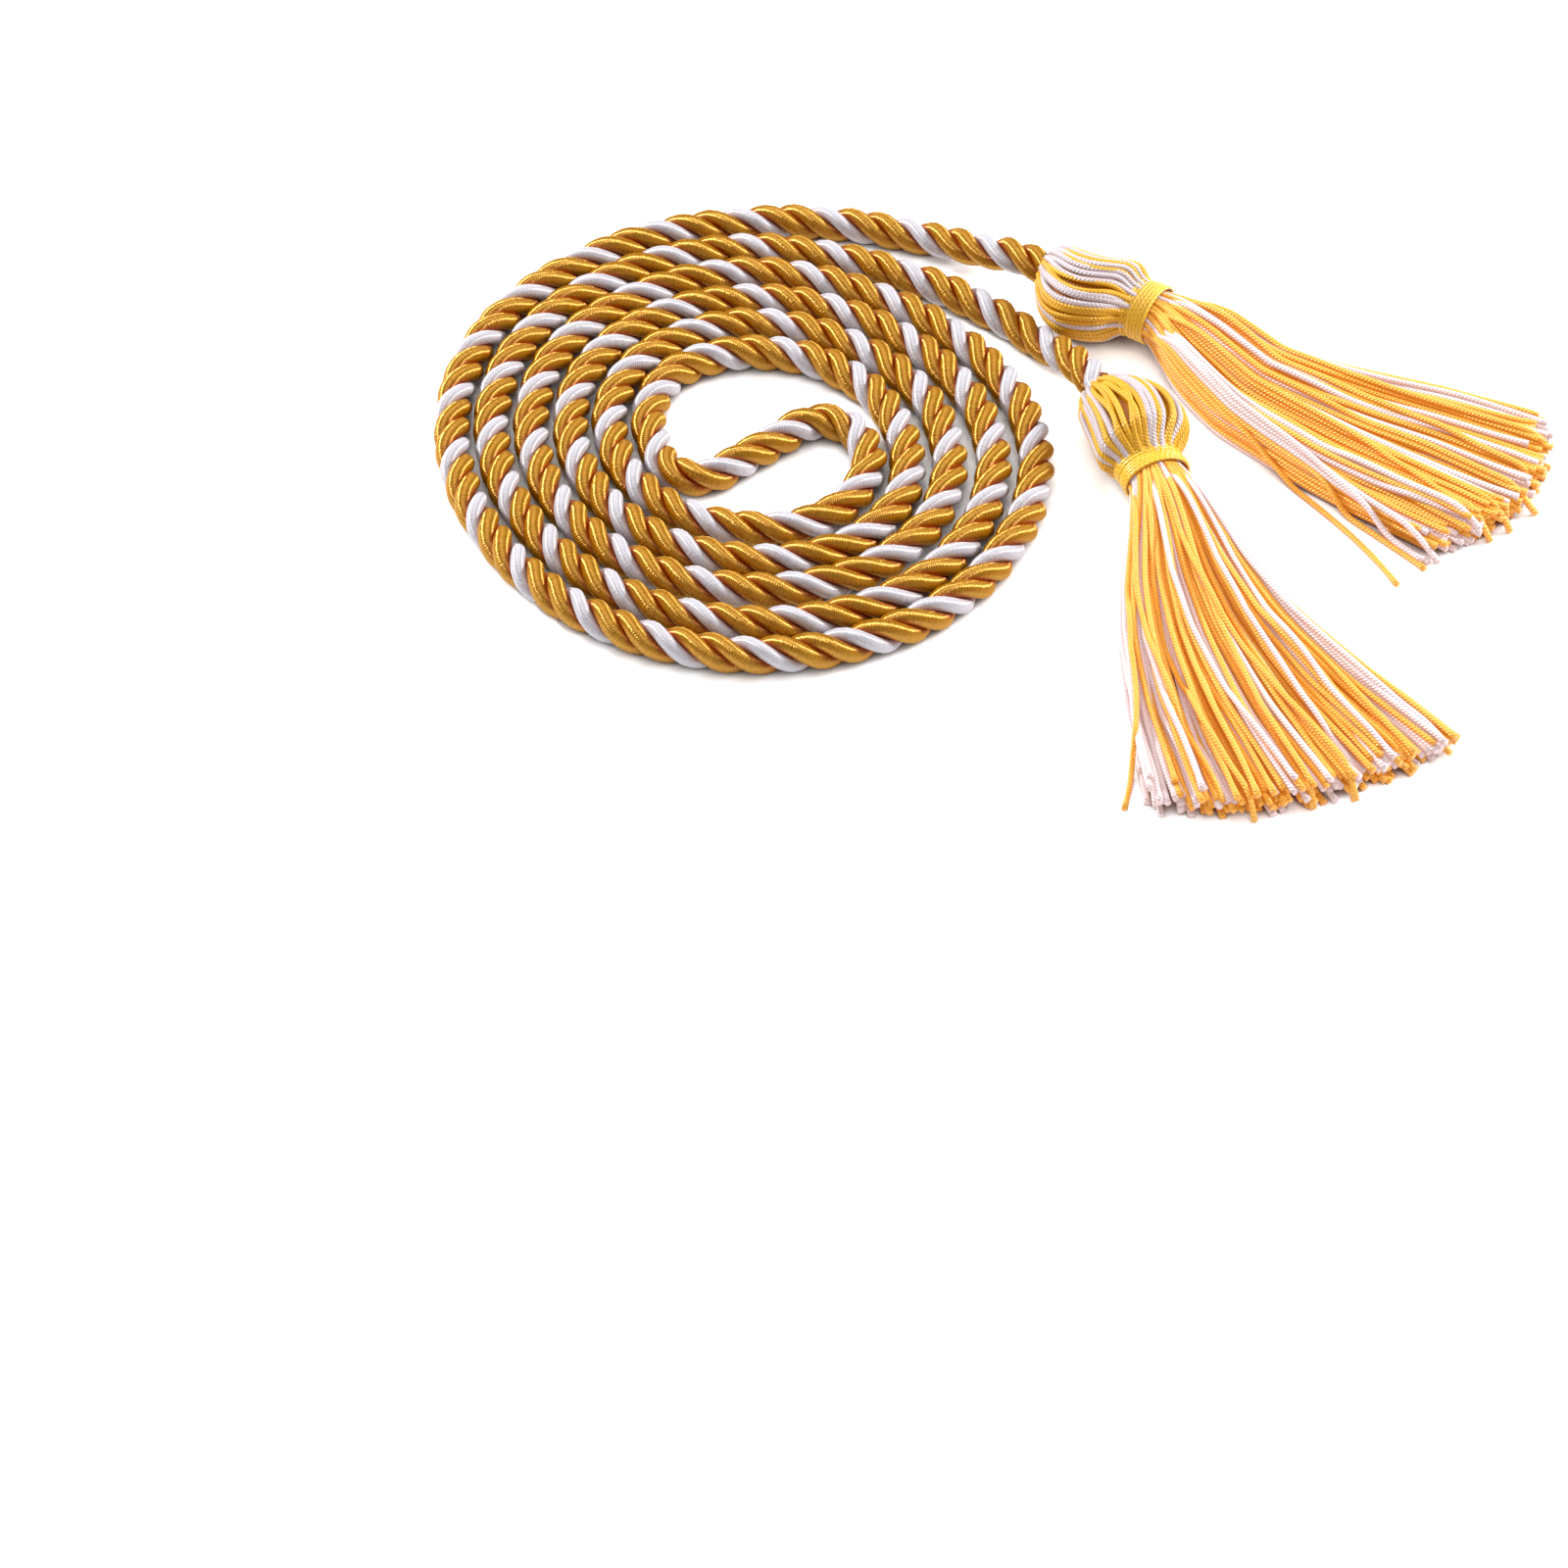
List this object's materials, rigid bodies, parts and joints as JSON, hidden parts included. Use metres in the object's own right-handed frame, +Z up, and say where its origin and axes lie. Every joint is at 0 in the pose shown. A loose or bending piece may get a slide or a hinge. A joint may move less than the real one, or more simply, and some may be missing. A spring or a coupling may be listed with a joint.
{
  "type": "coiled honor cord with two tassels",
  "caption": "Twisted gold and white honor cord laid down in a flat spiral, with a gathered tassel at each end.",
  "frame": {"origin": "on the floor under the middle of the rope, at the centre of its S bend", "axes": "+Z up from the floor that the cord lies on; +X across the spiral towards the side where the tassels lie"},
  "size_m": [0.2119, 0.1704, 0.016],
  "materials": {
    "rope": "satin rayon, gold with one white strand",
    "tassel_cords": "knitted cord, gold and white mixed",
    "wrap_thread": "wound satin thread, gold"
  },
  "bodies": {
    "root": {"cord": "rope", "first_tassel": "tassel_cords", "first_neck_wrap": "wrap_thread", "second_tassel": "tassel_cords", "second_neck_wrap": "wrap_thread"}
  },
  "joints": []
}
